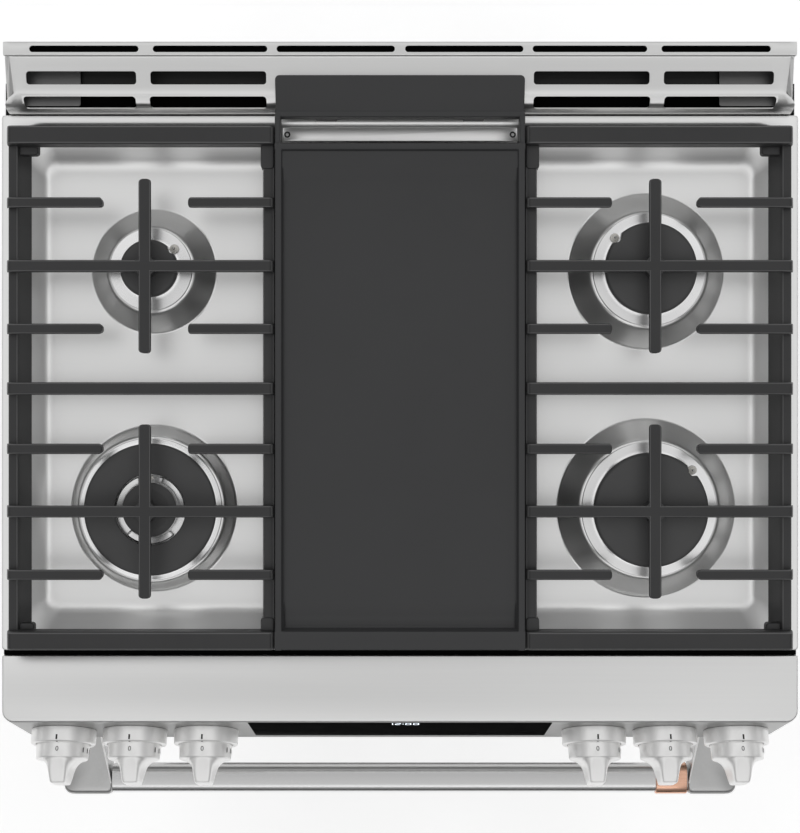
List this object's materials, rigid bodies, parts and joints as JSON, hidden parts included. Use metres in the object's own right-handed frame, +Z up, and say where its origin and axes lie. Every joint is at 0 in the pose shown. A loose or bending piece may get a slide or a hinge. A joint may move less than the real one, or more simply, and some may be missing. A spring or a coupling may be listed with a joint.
{
  "type": "gas range",
  "caption": "Free-standing gas range with continuous grates, centre griddle, front knobs, oven door with bar handle and a storage drawer.",
  "frame": {"origin": "on the floor under the centre of the overall box", "axes": "+Z up, front of the range towards -Y, +X to the cook's right"},
  "size_m": [0.762, 0.76, 0.953],
  "materials": {
    "stainless": "brushed stainless",
    "knob_steel": "satin",
    "handle_steel": "polished",
    "copper_band": "copper-coloured satin",
    "body_paint": "dark grey enamel",
    "galvanised": "galvanised sheet",
    "oven_enamel": "glossy porcelain enamel",
    "glass_wool": "glass wool",
    "rack_chrome": "chrome plated",
    "fan_steel": "plain",
    "burner_steel": "aluminised steel",
    "lamp_glass": "clear",
    "gasket_black": "woven silicone",
    "black_glass": "black ceramic glass",
    "clear_glass": "clear",
    "cast_iron": "matt enamelled",
    "griddle_coating": "dark non-stick coating",
    "head_aluminium": "die cast",
    "cap_enamel": "matt black enamel",
    "insulator": "glazed",
    "valve_brass": "machined",
    "regulator_cast": "die cast",
    "module_plastic": "moulded",
    "leg_steel": "zinc plated"
  },
  "bodies": {
    "chassis": {"side_panels": "body_paint", "back_panel": "galvanised", "base_frame": "body_paint", "levelling_legs": "leg_steel", "oven_liner": "oven_enamel", "oven_floor_plate": "oven_enamel", "insulation": "glass_wool", "fan_cover": "oven_enamel", "fan_motor": "fan_steel", "bake_burner": "burner_steel", "broil_burner": "burner_steel", "oven_lamp": "lamp_glass", "temperature_probe": "rack_chrome", "flue_duct": "galvanised", "door_gasket": "gasket_black", "hinge_receivers": "galvanised", "drawer_slides": "galvanised", "cooktop_pan": "stainless", "vent_trim": "stainless", "burner_heads": "head_aluminium", "electrodes": "insulator", "control_panel": "stainless", "display_glass": "black_glass", "knob_bezels": "knob_steel", "gas_valves": "valve_brass", "gas_manifold": "burner_steel", "burner_tubes": "burner_steel", "pressure_regulator": "regulator_cast", "spark_module": "module_plastic"},
    "door": {"door_outer_panel": "stainless", "door_window_glass": "black_glass", "door_inner_liner": "oven_enamel", "door_inner_glass": "clear_glass", "door_hinge_arms": "galvanised", "handle_bar": "handle_steel", "handle_brackets": "handle_steel", "handle_band": "copper_band"},
    "drawer": {"drawer_front": "stainless", "drawer_box": "galvanised"},
    "fan": {"convection_fan": "fan_steel"},
    "rack_lower": {"oven_rack_lower": "rack_chrome"},
    "rack_upper": {"oven_rack_upper": "rack_chrome"},
    "grate_l": {"grate_left": "cast_iron"},
    "grate_r": {"grate_right": "cast_iron"},
    "griddle_plate": {"griddle": "griddle_coating"},
    "caps_l": {"burner_caps_left": "cap_enamel"},
    "caps_r": {"burner_caps_right": "cap_enamel"},
    "caps_c": {"burner_caps_centre": "cap_enamel"},
    "stem_1": {"valve_stem_1": "valve_brass"},
    "knob_body_1": {"knob_1": "knob_steel"},
    "stem_2": {"valve_stem_2": "valve_brass"},
    "knob_body_2": {"knob_2": "knob_steel"},
    "stem_3": {"valve_stem_3": "valve_brass"},
    "knob_body_3": {"knob_3": "knob_steel"},
    "stem_4": {"valve_stem_4": "valve_brass"},
    "knob_body_4": {"knob_4": "knob_steel"},
    "stem_5": {"valve_stem_5": "valve_brass"},
    "knob_body_5": {"knob_5": "knob_steel"},
    "stem_6": {"valve_stem_6": "valve_brass"},
    "knob_body_6": {"knob_6": "knob_steel"}
  },
  "joints": [
    {"name": "door_hinge", "type": "hinge", "parent": "chassis", "child": "door", "pos_m": [0, -0.27, 0.25], "axis": [1, 0, 0], "range_deg": [0, 90]},
    {"name": "drawer_slide", "type": "slide", "parent": "chassis", "child": "drawer", "axis": [0, -1, 0], "range_m": [0, 0.36]},
    {"name": "fan_spin", "type": "hinge", "parent": "chassis", "child": "fan", "pos_m": [0, 0.255, 0.54], "axis": [0, 1, 0], "continuous": true},
    {"name": "rack_lower_slide", "type": "slide", "parent": "chassis", "child": "rack_lower", "axis": [0, -1, 0], "range_m": [0, 0.26]},
    {"name": "rack_upper_slide", "type": "slide", "parent": "chassis", "child": "rack_upper", "axis": [0, -1, 0], "range_m": [0, 0.26]},
    {"name": "grate_left_lift", "type": "slide", "parent": "chassis", "child": "grate_l", "axis": [0, 0, 1], "range_m": [0, 0.15]},
    {"name": "grate_right_lift", "type": "slide", "parent": "chassis", "child": "grate_r", "axis": [0, 0, 1], "range_m": [0, 0.15]},
    {"name": "griddle_lift", "type": "slide", "parent": "chassis", "child": "griddle_plate", "axis": [0, 0, 1], "range_m": [0, 0.15]},
    {"name": "caps_left_lift", "type": "slide", "parent": "chassis", "child": "caps_l", "axis": [0, 0, 1], "range_m": [0, 0.05]},
    {"name": "caps_right_lift", "type": "slide", "parent": "chassis", "child": "caps_r", "axis": [0, 0, 1], "range_m": [0, 0.05]},
    {"name": "caps_centre_lift", "type": "slide", "parent": "chassis", "child": "caps_c", "axis": [0, 0, 1], "range_m": [0, 0.05]},
    {"name": "knob_1_turn", "type": "hinge", "parent": "chassis", "child": "stem_1", "pos_m": [-0.3322, -0.30027, 0.87411], "axis": [0, -0.9352, 0.3542], "range_deg": [0, 240]},
    {"name": "knob_1_push", "type": "slide", "parent": "stem_1", "child": "knob_body_1", "axis": [0, 0.9352, -0.3542], "range_m": [0, 0.003], "stiffness_N_per_m": 600, "springref_m": -0.002},
    {"name": "knob_2_turn", "type": "hinge", "parent": "chassis", "child": "stem_2", "pos_m": [-0.2619, -0.30027, 0.87411], "axis": [0, -0.9352, 0.3542], "range_deg": [0, 240]},
    {"name": "knob_2_push", "type": "slide", "parent": "stem_2", "child": "knob_body_2", "axis": [0, 0.9352, -0.3542], "range_m": [0, 0.003], "stiffness_N_per_m": 600, "springref_m": -0.002},
    {"name": "knob_3_turn", "type": "hinge", "parent": "chassis", "child": "stem_3", "pos_m": [-0.1916, -0.30027, 0.87411], "axis": [0, -0.9352, 0.3542], "range_deg": [0, 240]},
    {"name": "knob_3_push", "type": "slide", "parent": "stem_3", "child": "knob_body_3", "axis": [0, 0.9352, -0.3542], "range_m": [0, 0.003], "stiffness_N_per_m": 600, "springref_m": -0.002},
    {"name": "knob_4_turn", "type": "hinge", "parent": "chassis", "child": "stem_4", "pos_m": [0.1916, -0.30027, 0.87411], "axis": [0, -0.9352, 0.3542], "range_deg": [0, 240]},
    {"name": "knob_4_push", "type": "slide", "parent": "stem_4", "child": "knob_body_4", "axis": [0, 0.9352, -0.3542], "range_m": [0, 0.003], "stiffness_N_per_m": 600, "springref_m": -0.002},
    {"name": "knob_5_turn", "type": "hinge", "parent": "chassis", "child": "stem_5", "pos_m": [0.2619, -0.30027, 0.87411], "axis": [0, -0.9352, 0.3542], "range_deg": [0, 240]},
    {"name": "knob_5_push", "type": "slide", "parent": "stem_5", "child": "knob_body_5", "axis": [0, 0.9352, -0.3542], "range_m": [0, 0.003], "stiffness_N_per_m": 600, "springref_m": -0.002},
    {"name": "knob_6_turn", "type": "hinge", "parent": "chassis", "child": "stem_6", "pos_m": [0.3322, -0.30027, 0.87411], "axis": [0, -0.9352, 0.3542], "range_deg": [0, 240]},
    {"name": "knob_6_push", "type": "slide", "parent": "stem_6", "child": "knob_body_6", "axis": [0, 0.9352, -0.3542], "range_m": [0, 0.003], "stiffness_N_per_m": 600, "springref_m": -0.002}
  ],
  "couplings": [
    {"joint": "rack_lower_slide", "follows": "door_hinge", "m_per_rad": 0.16},
    {"joint": "rack_upper_slide", "follows": "door_hinge", "m_per_rad": 0.16},
    {"joint": "caps_left_lift", "follows": "grate_left_lift", "ratio": 0.3},
    {"joint": "caps_right_lift", "follows": "grate_right_lift", "ratio": 0.3},
    {"joint": "caps_centre_lift", "follows": "griddle_lift", "ratio": 0.3}
  ]
}
